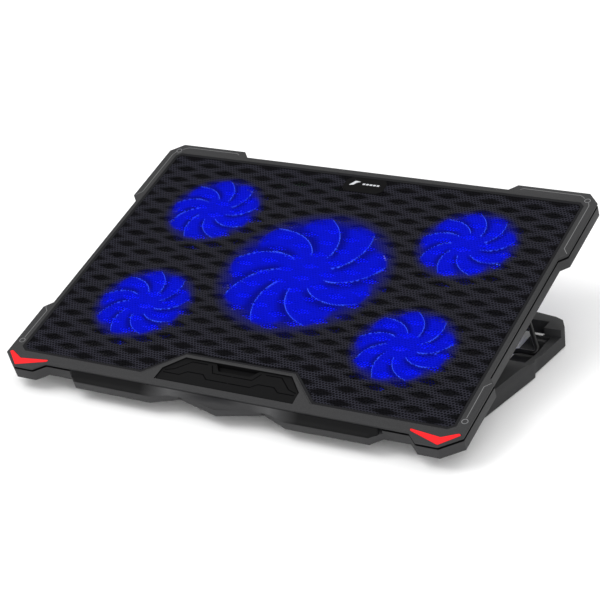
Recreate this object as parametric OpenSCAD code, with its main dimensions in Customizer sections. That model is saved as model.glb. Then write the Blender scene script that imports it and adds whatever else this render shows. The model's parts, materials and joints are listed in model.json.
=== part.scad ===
// Laptop cooling pad: a perforated top deck with five slim fans, hinged at its front edge
// to a table frame and propped up by a bent wire stand.
// The origin is the middle of the footprint, on the table. +X is to the right, +Y to the rear, +Z up.
// Inside the deck, x runs to the right, v to the rear from the middle, and w up from the top face.

/* [Deck] */
// Width across the corner blocks
deck_w = 405; // [400:1:410]
// Depth from the front lip to the rear blocks
deck_d = 297; // [294:1:300]
// Thickness at the edge
deck_h = 12.5; // [12.5:0.5:14]
// Angle of the deck above the table
tilt = 15; // [0:1:18]
// Height of the dark groove between cover and shell
groove_h = 2; // [1.5:0.5:2.5]

/* [Grille] */
// Spacing of the lattice openings across the deck
cell_x = 38.4; // [36:0.4:44]
// Spacing of the lattice openings up and down the deck
cell_y = 15; // [14:0.5:18]
// Width of one lattice opening
cell_w = 23; // [16:0.5:26]
// Depth of one lattice opening
cell_d = 8.5; // [6:0.5:10]
// Thickness of the metal panel
panel_t = 0.9; // [0.6:0.1:0.9]

/* [Fans] */
// Blade tip radius of the centre fan
big_r = 65; // [60:1:66]
// Blade tip radius of a corner fan
small_r = 37; // [34:1:38]
// Blades on each rotor
blades = 9; // [7:1:11]

/* [Stand] */
// Diameter of the wire stand
wire_d = 4; // [3.5:0.5:4]
// Length of the wire stand from its hinge to its feet
wire_l = 96.2; // [92:0.2:97]
// Angle between the wire stand and the deck
wire_angle = 29; // [0:0.1:34]
// Height of the table frame
frame_h = 17.7; // [16:0.1:17.7]

/* [Hidden] */

$fn = 48;
eps = 0.01;
hw = deck_w / 2;
hd = deck_d / 2;

// Layers of the deck, down from the top face
panel_top = -0.3;
panel_bottom = panel_top - panel_t;
rim_bottom = -1.6;
plate_bottom = -3;
shell_top = rim_bottom - groove_h;
lip_top = -6.5;
floor_t = 1.5;
floor_bottom = -deck_h;
floor_top = floor_bottom + floor_t;
groove_in = 2;
wall_t = 2;

// Hinge of the deck on the table frame
hinge_v = -hd + 29.5;
hinge_drop = 19.5;
hinge_z = 11;
hinge_x = 150;
pin_r = 1.5;
run_gap = 0.05;
lip_reach = (-hd - hinge_v) * cos(tilt) - (lip_top + hinge_drop) * sin(tilt);
front_reach = min(lip_reach, (1 - hd - hinge_v) * cos(tilt) - hinge_drop * sin(tilt));
rear_reach = (hd - hinge_v) * cos(tilt) - (floor_bottom + hinge_drop) * sin(tilt);
hinge_y = -(front_reach + rear_reach) / 2;

// Wire stand: hinge place on the deck, and its half outline from hinge to middle bar
wire_v = hinge_v + 225;
wire_w = floor_bottom - 2.5;
wire_r = wire_d / 2;
wire_bend = 3;
wire_hinge_x = 150;
WIRE_HALF = [
    [wire_hinge_x - 3.5, 0], [wire_hinge_x, 0], [wire_hinge_x, 61.6 - wire_l], [189, -wire_l],
    [172, -wire_l], [165, -2 - wire_l]
];
WIRE = concat(WIRE_HALF, [for (i = [len(WIRE_HALF) - 1:-1:0]) [-WIRE_HALF[i][0], WIRE_HALF[i][1]]]);

// Fans: name, x, v, blade tip radius, hub radius
FANS = [
    ["center", 0, 10, big_r, 17],
    ["rear_left", -118, 69, small_r, 11],
    ["rear_right", 118, 69, small_r, 11],
    ["front_left", -118, -54, small_r, 11],
    ["front_right", 118, -54, small_r, 11]
];
fan_bottom = floor_top;
fan_top = floor_top + 7.2;
strut_top = fan_bottom + 1.2;
blade_low = fan_bottom + 2.2;
blade_high = fan_top - 0.4;
led_w = fan_bottom + 3.7;
shaft_r = 1;
tab_out = 3;
function ring_in(f) = f[3] + 1.2;
function ring_out(f) = f[3] + 4.4;

// Places of the case screws
CASE_SCREWS = [
    [184, 124], [184, 8], [184, -118], [104, 122], [84, -104],
    [-184, 124], [-184, 8], [-184, -118], [-104, 122], [-84, -104]
];

// Outline of the right half of the top cover, rear to front: x, v, and the inward step of each corner
COVER_HALF = [
    [0, hd - 7, 0, 1], [124, hd - 7, 0.4, 1], [130, hd, 0.4, 1], [192.5, hd, 0.4, 1],
    [hw, hd - 10.5, 1, 0.4], [hw, 72.5, 1, 0.4], [hw - 6, 66, 1, 0.4], [hw - 6, -71, 1, -0.4],
    [hw, -78, 1, -0.4], [hw, -134.5, 1, -0.4], [187.5, 1 - hd, 0.4, -1], [169.5, 1 - hd, -0.4, -1],
    [161, 9 - hd, -0.4, -1], [139, 9 - hd, 0, -1], [0, 8.5 - hd, 0, -1]
];
// Outline of the right half of the lower shell: the front lip runs in a shallow W
LIP_HALF = concat(
    [for (i = [0:13]) COVER_HALF[i]],
    [[130.5, 1 - hd, 0.4, -1], [60.3, 0.5 - hd, -0.3, -1], [37.6, 9.5 - hd, 0, -1], [0, -hd, 0, -1]]
);
// Outline of the shell just above the lip, set back so that a dark slot is left under the cover
SLOT_HALF = concat(
    [for (i = [0:13]) COVER_HALF[i]],
    [[136, 13 - hd, 0, -1], [70, 13 - hd, 0, -1], [62, 7 - hd, 0, -1], [0, 7 - hd, 0, -1]]
);
PANEL_HALF = [
    [0, 136.5], [189, 136.5], [193, 132.5], [193, -125], [187.5, -129.5], [76, -129.5], [48.5, -103], [0, -103]
];
TRAY_HALF = [[0, -105.5], [47.5, -105.5], [61, -120.5], [61.7, -133], [0, -133]];
ACCENT = [[200.4, -132.6], [187, -146], [161.4, -137.4], [160.6, -134.9], [186, -138], [197.6, -131.4]];
NOTCH = [[-20, -105], [-14, -113.5], [14, -113.5], [20, -105]];

function inset(half, d) = [for (p = half) [p[0] - d * p[2], p[1] - d * p[3]]];
function mirrored(half) = concat(half, [for (i = [len(half) - 1:-1:0]) [-half[i][0], half[i][1]]]);

// ---- shared shapes ----

// Places children, given in deck coordinates, at the deck's tilt
module on_deck() {
    translate([0, hinge_y, hinge_z]) rotate([tilt, 0, 0]) translate([0, -hinge_v, hinge_drop]) children();
}

module slab(low, high) {
    translate([0, 0, low]) linear_extrude(high - low) children();
}

module both_sides() {
    children();
    mirror([1, 0, 0]) children();
}

module half_shape(half, d = 0) {
    polygon(mirrored(inset(half, d)));
}

module panel_shape() {
    polygon(mirrored(PANEL_HALF));
}

module tray_shape() {
    polygon(mirrored(TRAY_HALF));
}

module at_fan(f) {
    translate([f[1], f[2], 0]) children();
}

module fan_tabs(f) {
    for (a = [45:90:315]) rotate(a) translate([ring_out(f) + tab_out, 0, 0]) children();
}

function heading(p, i) = atan2(p[i + 1][1] - p[i][1], p[i + 1][0] - p[i][0]);
function wrapped(a) = a > 180 ? a - 360 : a < -180 ? a + 360 : a;
function turn(p, i) = wrapped(heading(p, i) - heading(p, i - 1));

// Stations round one bend of a flat route: x, y and heading
function bend_stations(p, i, bend) =
    let (
        bow = turn(p, i),
        way = bow > 0 ? 1 : -1,
        from = heading(p, i - 1),
        back = bend * tan(abs(bow) / 2),
        cx = p[i][0] - back * cos(from) - way * bend * sin(from),
        cy = p[i][1] - back * sin(from) + way * bend * cos(from),
        steps = ceil(abs(bow) / 20)
    )
    [for (k = [0:steps]) let (h = from + bow * k / steps) [cx + way * bend * sin(h), cy - way * bend * cos(h), h]];

function stations(p, bend) = concat(
    [[p[0][0], p[0][1], heading(p, 0)]],
    [for (i = [1:len(p) - 2], q = bend_stations(p, i, bend)) q],
    [[p[len(p) - 1][0], p[len(p) - 1][1], heading(p, len(p) - 2)]]
);

// A round rod swept along a flat route with rounded bends
module bent_rod(p, r, bend, sides = 16) {
    st = stations(p, bend);
    rings = len(st);
    points = [for (q = st, k = [0:sides - 1]) let (a = 360 * k / sides)
        [q[0] - r * cos(a) * sin(q[2]), q[1] + r * cos(a) * cos(q[2]), r * sin(a)]];
    walls = [for (j = [0:rings - 2], k = [0:sides - 1]) let (n = (k + 1) % sides)
        [j * sides + k, (j + 1) * sides + k, (j + 1) * sides + n, j * sides + n]];
    first = [for (k = [0:sides - 1]) k];
    last = [for (k = [sides - 1:-1:0]) (rings - 1) * sides + k];
    polyhedron(points = points, faces = concat([first], walls, [last]), convexity = 6);
}

// ---- table frame ----
base_bottom = 1;
arm_floor = 3.5;
bar_top = 10.5;
arm_in = 168;
rim_in = 190.5;
frame_d = 197;

// Plan of the right half of the frame, y measured to the rear from the hinge
FRAME_HALF = [
    [0, 8], [172, 8], [180, 16], [186, 50], [197, 120], [194.6, 126], [195.2, 132], [199, 176],
    [193, 187], [186, 190.5], [150, frame_d], [0, frame_d]
];

module frame_plan() {
    polygon(mirrored(FRAME_HALF));
}

// Side view of an arm: high at the front, rolling down to the notch floor
module arm_profile() {
    polygon(concat(
        [[8, base_bottom], [8, frame_h], [97, frame_h]],
        [for (a = [80:-10:0]) [97 + 30 * cos(a), arm_floor + (frame_h - arm_floor) * sin(a)]],
        [[127.5, arm_floor], [172, arm_floor], [172, base_bottom]]
    ));
}

// Side view of the outer rim: it dips beside the notches
module rim_profile() {
    polygon([
        [8, base_bottom], [8, frame_h], [97, frame_h], [137, 11.5], [171, 11.5],
        [171, frame_h], [199, frame_h], [199, base_bottom]
    ]);
}

// A side view drawn in y and z, carried across from x = a to x = b
module across(a, b) {
    translate([a, 0, 0]) rotate([90, 0, 90]) linear_extrude(b - a) children();
}

module notch_tooth(x, y) {
    translate([x, y, arm_floor - eps]) cube([7.4, 3.2, 8.1]);
}

module base_knuckle() {
    across(hinge_x - 7, hinge_x + 7) difference() {
        union() {
            translate([0, hinge_z]) circle(r = 5);
            polygon([[0, hinge_z - 5], [14, base_bottom], [14, hinge_z], [2, hinge_z + 4.5]]);
        }
        translate([0, hinge_z]) circle(r = pin_r);
    }
}

module base_frame() {
    color([0.2, 0.2, 0.21]) translate([0, hinge_y, 0]) difference() {
        union() {
            both_sides() {
                intersection() {
                    slab(base_bottom, frame_h) frame_plan();
                    across(arm_in, 210) arm_profile();
                }
                intersection() {
                    slab(base_bottom, frame_h) frame_plan();
                    across(rim_in, 210) rim_profile();
                }
                // corner block and the raised end of the rear bar
                intersection() {
                    slab(base_bottom, frame_h) frame_plan();
                    translate([184, 170, 0]) cube([20, 30, 30]);
                }
                intersection() {
                    slab(base_bottom + 5, frame_h) frame_plan();
                    translate([160, 181, 0]) cube([26, 20, 30]);
                }
                slab(base_bottom, arm_floor) polygon([[arm_in, 171], [arm_in, 182], [188, 182], [188, 171]]);
                notch_tooth(182, 158.3);
                notch_tooth(183.4, 166.6);
                base_knuckle();
            }
            // low middle of the rear bar, and the front bar
            intersection() {
                slab(base_bottom + 2, bar_top) frame_plan();
                translate([-161, 181, 0]) cube([322, 20, 30]);
            }
            intersection() {
                slab(base_bottom, bar_top) frame_plan();
                translate([-170, 8, 0]) cube([340, 20, 30]);
            }
        }
        for (p = FEET) translate([p[0], p[1], -eps]) cylinder(h = base_bottom + 0.6, r = 6);
    }
}

FEET = [[178, 22], [177, 92], [190, 178], [-178, 22], [-177, 92], [-190, 178]];

module base_feet() {
    color([0.1, 0.1, 0.1]) translate([0, hinge_y, 0])
        for (p = FEET) translate([p[0], p[1], 0]) cylinder(h = base_bottom + 0.58, r = 5.9);
}

module hinge_pins() {
    color("silver") translate([0, hinge_y, hinge_z]) both_sides()
        translate([hinge_x - 13.5, 0, 0]) rotate([0, 90, 0]) cylinder(h = 27, r = pin_r);
}

// ---- wire stand ----
module wire_stand() {
    color([0.09, 0.09, 0.1]) on_deck() translate([0, wire_v, wire_w]) rotate([wire_angle, 0, 0])
        union() {
            bent_rod(WIRE, wire_r - 0.02, wire_bend);
            both_sides() translate([WIRE[0][0] - 8, 0, 0]) rotate([0, 90, 0]) cylinder(h = 8.4, r = wire_r);
        }
}

clip_w = 6;
clip_x = wire_hinge_x - 10;

module wire_clips() {
    color([0.16, 0.16, 0.17]) on_deck() both_sides() translate([clip_x, wire_v, 0]) difference() {
        union() {
            translate([0, 0, wire_w]) rotate([0, 90, 0]) cylinder(h = clip_w, r = wire_r + 1.8);
            translate([0, -wire_r - 1.8, wire_w]) cube([clip_w, 2 * wire_r + 3.6, floor_bottom - wire_w]);
            translate([0, 0, floor_bottom - 1.8]) cube([clip_w, 14, 1.8]);
        }
        translate([-1, -10, floor_bottom]) cube([clip_w + 2, 30, 10]);
        translate([-1, 0, wire_w]) rotate([0, 90, 0]) cylinder(h = clip_w + 2, r = wire_r + run_gap);
        translate([clip_w / 2, 9.5, floor_bottom - 3]) cylinder(h = 4, r = 1.5);
    }
}

module clip_screws() {
    color("silver") on_deck() both_sides() translate([clip_x + clip_w / 2, wire_v + 9.5, floor_bottom - 1.8]) {
        translate([0, 0, -1.3]) cylinder(h = 1.3, r = 2.5);
        cylinder(h = 6, r = 1.2);
    }
}

// ---- lower shell ----
module vent(f) {
    step = 6;
    difference() {
        for (r = [f[4] + 3:step:f[3] - 3]) difference() {
            circle(r = r + step * 0.6);
            circle(r = r);
        }
        for (a = [0:45:135]) rotate(a) square([2 * f[3] + 10, 2.4], center = true);
    }
}

module deck_ear(x) {
    translate([x, hinge_v, 0]) rotate([90, 0, 90]) linear_extrude(4) difference() {
        union() {
            translate([0, -hinge_drop]) circle(r = 5);
            polygon([[-5, -hinge_drop], [5, -hinge_drop], [9, floor_bottom + eps], [-9, floor_bottom + eps]]);
        }
        translate([0, -hinge_drop]) circle(r = pin_r + run_gap);
    }
}

usb_x = [-62, -42];
usb_w = floor_top + 4.6;
switch_x = -86;
rear_wall_v = hd - 7;

module bottom_shell() {
    color([0.24, 0.24, 0.25]) on_deck() difference() {
        union() {
            slab(floor_bottom, lip_top) half_shape(LIP_HALF);
            slab(lip_top - eps, shell_top) half_shape(SLOT_HALF);
            both_sides() {
                deck_ear(hinge_x - 12.5);
                deck_ear(hinge_x + 8.5);
            }
        }
        difference() {
            slab(floor_top, 0) half_shape(SLOT_HALF, wall_t);
            for (f = FANS) at_fan(f) fan_tabs(f) slab(floor_top - 1, fan_bottom + 2) circle(r = 2.9);
            for (p = CASE_SCREWS) translate([p[0], p[1], 0]) slab(floor_top - 1, floor_top + 3) circle(r = 3.4);
            both_sides() translate([clip_x + clip_w / 2, wire_v + 9.5, 0])
                slab(floor_top - 1, floor_top + 4) circle(r = 3);
        }
        for (f = FANS) at_fan(f) {
            slab(floor_bottom - 1, floor_top + 1) vent(f);
            fan_tabs(f) slab(floor_bottom + 0.5, 0) circle(r = 1.2);
        }
        for (p = CASE_SCREWS) translate([p[0], p[1], 0]) {
            slab(floor_bottom - 1, 0) circle(r = 1.5);
            slab(floor_bottom - 1, floor_bottom + 1.8) circle(r = 2.9);
        }
        both_sides() translate([clip_x + clip_w / 2, wire_v + 9.5, 0])
            slab(floor_bottom - 1, floor_top + 3.2) circle(r = 1.2);
        for (x = usb_x) translate([x - 6.9, rear_wall_v - 5, usb_w - 3.1]) cube([13.8, 10, 6.2]);
        translate([switch_x - 6, rear_wall_v - 5, usb_w - 3]) cube([12, 10, 6]);
    }
}

// ---- top cover ----
module lattice_openings() {
    intersection() {
        offset_panel();
        for (row = [-17:17], col = [-5:5]) {
            x = col * cell_x + (row % 2 == 0 ? 0 : cell_x / 2);
            v = 4 + row * cell_y / 2;
            if (abs(x) < 182 && v < 126 && v > -120 && !blocked(x, v)) translate([x, v])
                polygon([[-cell_w / 2, 0], [0, -cell_d / 2], [cell_w / 2, 0], [0, cell_d / 2]]);
        }
    }
}
function near_screw(x, v) =
    len([for (p = CASE_SCREWS) if (abs(x - p[0]) < cell_w / 2 + 1 && abs(v - p[1]) < 7.5) p]) > 0;
function blocked(x, v) = (abs(x) < 78 && v < -93) || near_screw(x, v);

module offset_panel() {
    square([374, 250], center = true);
}

module tub_shape() {
    polygon(mirrored([[0, -102.5], [49, -102.5], [64, -119], [64.7, -135.5], [0, -135.5]]));
}

flap_v = -131;
flap_w = -2.3;
flap_pin_r = 0.9;

module top_cover() {
    color([0.26, 0.26, 0.27]) on_deck() difference() {
        union() {
            slab(rim_bottom, 0) half_shape(COVER_HALF);
            slab(plate_bottom, rim_bottom + eps) half_shape(COVER_HALF, groove_in);
            slab(shell_top, plate_bottom + eps) difference() {
                half_shape(COVER_HALF, groove_in);
                half_shape(COVER_HALF, groove_in + 4);
            }
            slab(-5.8, plate_bottom + eps) tub_shape();
            for (p = CASE_SCREWS) translate([p[0], p[1], 0]) slab(floor_top + 3, plate_bottom + eps) circle(r = 3);
        }
        slab(panel_bottom, 1) panel_shape();
        slab(plate_bottom - 1, 0) lattice_openings();
        slab(-4.6, 1) tray_shape();
        both_sides() slab(-0.8, 1) polygon(ACCENT);
        for (p = CASE_SCREWS) translate([p[0], p[1], 0]) slab(floor_top, -4) circle(r = 1.2);
        both_sides() translate([61, flap_v, flap_w]) rotate([0, 90, 0]) cylinder(h = 7, r = flap_pin_r + run_gap);
        for (p = RINGS) translate([p[0], p[1], 0]) slab(-0.6, 1) circle(r = 2.6);
    }
}

RINGS = [[193.5, 139.5], [-193.5, 139.5], [197, -119], [-197, -119]];

module mesh_panel() {
    color([0.12, 0.12, 0.13]) on_deck() slab(panel_bottom, panel_top) panel_shape();
}

module corner_accents() {
    color([0.95, 0.08, 0.1]) on_deck() both_sides() slab(-0.8, 0) polygon(ACCENT);
}

module corner_rings() {
    color([0.5, 0.5, 0.5]) on_deck() for (p = RINGS) translate([p[0], p[1], 0])
        slab(-0.6, 0) difference() {
            circle(r = 2.6);
            circle(r = 2);
        }
}

module badge() {
    color([0.05, 0.05, 0.05]) on_deck() slab(panel_top, 0)
        polygon([[-19, 119], [-15, 114.5], [15, 114.5], [19, 119], [19, 129], [15, 133.5], [-15, 133.5], [-19, 129]]);
}

// ---- stopper flap ----
flap_gap = 0.5;
flap_t = 2.8;

module flap_shape() {
    difference() {
        polygon(mirrored([[0, -106], [47.2, -106], [60.4, -120.7], [61.1, flap_v], [0, flap_v]]));
        polygon(NOTCH);
    }
}

module stopper_flap() {
    color([0.13, 0.13, 0.14]) on_deck() difference() {
        union() {
            slab(flap_w - flap_t / 2, flap_w + flap_t / 2) flap_shape();
            translate([-61.1, flap_v, flap_w]) rotate([0, 90, 0]) cylinder(h = 122.2, r = flap_t / 2);
        }
        both_sides() translate([55, flap_v, flap_w]) rotate([0, 90, 0]) cylinder(h = 7, r = flap_pin_r);
    }
}

module flap_pins() {
    color("silver") on_deck() both_sides() translate([55, flap_v, flap_w])
        rotate([0, 90, 0]) cylinder(h = 12, r = flap_pin_r);
}

// ---- fasteners ----
module case_screws() {
    color("silver") on_deck() for (p = CASE_SCREWS) translate([p[0], p[1], 0]) {
        slab(floor_bottom + 0.3, floor_bottom + 1.8) circle(r = 2.6);
        slab(floor_bottom + 1.8, -4.4) circle(r = 1.18);
    }
}

module fan_screws() {
    color("silver") on_deck() for (f = FANS) at_fan(f) fan_tabs(f) {
        slab(floor_bottom + 0.8, fan_bottom + 4) circle(r = 1.18);
        slab(fan_bottom + 4, fan_bottom + 5.3) circle(r = 2.4);
    }
}

// ---- fans ----
module fan_frame(f) {
    color([0.75, 0.82, 0.95]) on_deck() at_fan(f) difference() {
        union() {
            slab(fan_bottom, fan_top) difference() {
                circle(r = ring_out(f), $fn = 96);
                circle(r = ring_in(f), $fn = 96);
            }
            slab(fan_bottom, strut_top) union() {
                circle(r = f[4]);
                intersection() {
                    circle(r = ring_in(f) + 1);
                    for (a = [22.5:45:180]) rotate(a) square([2 * ring_out(f), 3.4], center = true);
                }
            }
            slab(fan_bottom + 2, fan_bottom + 4) fan_tabs(f) union() {
                circle(r = 3);
                translate([-3.6, 0]) square([6, 5], center = true);
            }
        }
        fan_tabs(f) slab(fan_bottom, fan_bottom + 5) circle(r = 1.4);
        for (a = [0:90:270]) rotate(a) translate([ring_in(f) - 1, 0, led_w]) rotate([0, 90, 0]) cylinder(h = 8, r = 1.55);
        rotate(lead_angle(f)) translate([ring_in(f) - 2, -1.6, strut_top - eps]) cube([8, 3.2, 1.1]);
    }
}
function lead_angle(f) = f[1] == 0 ? 112.5 : f[1] > 0 ? 157.5 : 22.5;

module fan_leds() {
    color([0.6, 0.7, 1]) on_deck() for (f = FANS) at_fan(f) for (a = [0:90:270])
        rotate(a) translate([ring_in(f) + 0.3, 0, led_w]) rotate([0, 90, 0]) cylinder(h = 4.4, r = 1.5);
}

module stator(f) {
    color([0.72, 0.45, 0.2]) on_deck() at_fan(f) slab(strut_top, strut_top + 3.2) difference() {
        circle(r = f[4] - 2.2);
        circle(r = shaft_r + run_gap);
    }
}

// One blade: a swept sickle between the hub and the tip, pitched about its length
module blade(f) {
    r0 = f[4] - 0.5;
    r1 = f[3];
    sweep = 42;
    chord = 300 / blades;
    lead = [for (t = [0:0.125:1]) let (r = r0 + (r1 - r0) * t) r * [cos(sweep * t * t), sin(sweep * t * t)]];
    trail = [for (t = [1:-0.125:0])
        let (r = r0 + (r1 - r0) * t, a = sweep * t * t + chord * (0.75 + 0.25 * t)) r * [cos(a), sin(a)]];
    polygon(concat(lead, trail));
}

module rotor(f) {
    color([0.25, 0.4, 1]) on_deck() at_fan(f) difference() {
        union() {
            slab(blade_low, blade_high) circle(r = f[4]);
            for (k = [0:blades - 1]) rotate(k * 360 / blades) intersection() {
                slab(blade_low, blade_high) circle(r = f[3]);
                pitched(f) linear_extrude(1.3) blade(f);
            }
        }
        slab(blade_low - 1, blade_high - 1.2) difference() {
            circle(r = f[4] - 1.2);
            circle(r = 2.6);
        }
        slab(blade_low - 1, strut_top + 3.6) circle(r = f[4] - 1.2);
        slab(blade_low - 1, blade_high - 0.6) circle(r = shaft_r);
    }
}
module pitched(f) {
    lean = f[3] > 50 ? 6 : 9;
    translate([0, 0, (blade_low + blade_high) / 2 - 0.6]) rotate([0, 0, 50]) rotate([lean, 0, 0]) rotate([0, 0, -50])
        children();
}

module shaft(f) {
    color("silver") on_deck() at_fan(f) slab(strut_top + 0.1, blade_high - 0.6) circle(r = shaft_r);
}

// ---- electrics ----
module control_board() {
    color([0.05, 0.3, 0.12]) on_deck() translate([-96, rear_wall_v - 21, floor_top]) cube([68, 17, 1.2]);
}

module usb_ports() {
    color("silver") on_deck() for (x = usb_x) translate([x, rear_wall_v - 14.5, usb_w]) {
        difference() {
            translate([-6.5, 0, -2.8]) cube([13, 14, 5.6]);
            translate([-6.1, 1, -2.4]) cube([12.2, 14, 4.8]);
        }
        translate([-5.2, 0.5, 0.2]) cube([10.4, 9.5, 1.6]);
    }
}

module switch_housing() {
    color([0.1, 0.1, 0.1]) on_deck() translate([switch_x, rear_wall_v, usb_w]) difference() {
        union() {
            translate([-7, 0, -3.6]) cube([14, 1, 7.2]);
            translate([-5.9, -10, -2.7]) cube([11.8, 10.5, 5.4]);
        }
        translate([-4.9, -8, -2.1]) cube([9.8, 12, 4.2]);
        translate([0, -1.5, -2.6]) cylinder(h = 5.2, r = 0.65);
    }
}

rocker_turn = 8;

module power_rocker() {
    color([0.06, 0.06, 0.06]) on_deck() translate([switch_x, rear_wall_v - 1.5, usb_w]) rotate(-rocker_turn) {
        translate([0, 0, -1.8]) linear_extrude(3.6) polygon([[-4.4, -1], [4.4, -1], [4.4, 2.4], [0, 1.6], [-4.4, 2.4]]);
        translate([0, 0, -2.5]) cylinder(h = 5, r = 0.6);
    }
}

// Flat leads from each fan to the board
lead_w = strut_top + 0.1;

module lead(points) {
    for (i = [0:len(points) - 2]) {
        a = points[i];
        b = points[i + 1];
        translate([a[0], a[1], lead_w]) rotate(atan2(b[1] - a[1], b[0] - a[0]))
            translate([-1.1, -1.1, 0]) cube([norm(b - a) + 2.2, 2.2, 0.6]);
    }
}

module fan_leads() {
    color([0.1, 0.1, 0.1]) on_deck() {
        for (f = FANS) lead(concat(
            [for (r = [f[4], ring_out(f) + 2]) [f[1] + r * cos(lead_angle(f)), f[2] + r * sin(lead_angle(f))]],
            lead_run(f)
        ));
    }
}
function lead_run(f) =
    f[0] == "center" ? [[-34, 104], [-34, board_v]] :
    f[0] == "rear_left" ? [[-72, 88], [-72, board_v]] :
    f[0] == "rear_right" ? [[72, 92], [-38, 106], [-38, board_v]] :
    f[0] == "front_left" ? [[-73.5, -34], [-80, -10], [-80, 26], [-68.5, 88], [-68.5, board_v]] :
    [[73.5, -34], [80, -10], [80, 26], [68, 92], [-42, 110], [-42, board_v]];
board_v = rear_wall_v - 21.5;

// ---- the assembly ----
base_frame();
base_feet();
hinge_pins();
wire_stand();
wire_clips();
clip_screws();
bottom_shell();
top_cover();
mesh_panel();
corner_accents();
corner_rings();
badge();
stopper_flap();
flap_pins();
case_screws();
fan_screws();
fan_leds();
fan_leads();
control_board();
usb_ports();
switch_housing();
power_rocker();
for (f = FANS) {
    fan_frame(f);
    stator(f);
    rotor(f);
    shaft(f);
}
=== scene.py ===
import bpy
import bmesh
import json
import math
import numpy as np
from mathutils import Matrix, Vector
from mathutils.geometry import tessellate_polygon


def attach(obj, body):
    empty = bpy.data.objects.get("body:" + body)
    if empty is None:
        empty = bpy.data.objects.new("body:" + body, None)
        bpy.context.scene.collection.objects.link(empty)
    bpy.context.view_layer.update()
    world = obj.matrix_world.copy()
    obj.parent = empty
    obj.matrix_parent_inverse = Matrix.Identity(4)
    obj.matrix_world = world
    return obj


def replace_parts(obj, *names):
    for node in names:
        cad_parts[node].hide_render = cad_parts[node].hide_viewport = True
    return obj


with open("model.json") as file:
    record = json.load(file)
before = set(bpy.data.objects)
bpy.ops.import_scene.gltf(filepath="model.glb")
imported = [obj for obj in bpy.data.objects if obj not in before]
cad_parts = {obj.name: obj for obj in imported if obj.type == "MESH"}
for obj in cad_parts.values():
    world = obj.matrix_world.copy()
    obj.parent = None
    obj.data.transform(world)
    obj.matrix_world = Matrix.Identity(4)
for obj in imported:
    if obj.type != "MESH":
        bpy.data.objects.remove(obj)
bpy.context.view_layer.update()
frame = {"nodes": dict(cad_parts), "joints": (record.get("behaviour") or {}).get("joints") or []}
MM = 0.001
joints = {j["name"]: j for j in frame["joints"]}
# the deck's own frame: x right, y to the rear, z up from its top face, tilted about the hinge
PIVOT = Vector(joints["deck_tilt"]["pos_m"])
NORMAL = Vector(joints["spin_center"]["axis"])
TILT = math.atan2(-NORMAL.y, NORMAL.z)
HINGE_V, HINGE_DROP = -119.0, 19.5
DECK = (Matrix.Translation(PIVOT) @ Matrix.Rotation(TILT, 4, "X")
        @ Matrix.Translation(Vector((0, -HINGE_V * MM, HINGE_DROP * MM))))
# each fan's centre, tip radius and hub radius
FAN_SPOTS = {"center": (0, 10, 65, 17), "rear_left": (-118, 69, 37, 11), "rear_right": (118, 69, 37, 11),
             "front_left": (-118, -54, 37, 11), "front_right": (118, -54, 37, 11)}
# heights of the perforated panel and its sheets
PANEL_TOP, PANEL_LOW, SHEET_LOW = -0.3, -1.2, -0.75
# fan blades: count, spacing and phase in degrees, height range
BLADES, BLADE_STEP = 9, 40
BIG_PHASE, SMALL_PHASE = 22.0, 21.0
BLADE_LOW, BLADE_HIGH = -8.8, -4.2
# their sweep in degrees, its power, where it starts and how far it runs, and how far a tip's
# trailing side falls back: lengths are for a tip radius of BIG_TIP
SWEEP, SWEEP_POWER, SWEEP_START, SWEEP_RUN = 34, 1.2, 24, 43
TIP_FALL, BIG_TIP = 17, 65.0
# spacing and centre row of the lattice's diamond openings
CELL_X, CELL_V, CELL_START = 38.4, 7.5, 4

# ---------------------------------------------------------------- camera
cam_data = bpy.data.cameras.new("camera")
cam_data.lens = 120.64
cam_data.sensor_width = 36.0
cam_data.clip_end = 20
cam = bpy.data.objects.new("camera", cam_data)
cam.location = (0.763133, -1.241011, 0.747707)
cam.rotation_euler = (1.117172, 0.094327, 0.506981)
bpy.context.scene.collection.objects.link(cam)
bpy.context.scene.camera = cam
bpy.context.scene.view_settings.view_transform = "Standard"


# ---------------------------------------------------------------- materials
def srgb(r, g, b):
    def f(c):
        c = c / 255.0
        return c / 12.92 if c <= 0.04045 else ((c + 0.055) / 1.055) ** 2.4
    return (f(r), f(g), f(b), 1.0)


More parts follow.
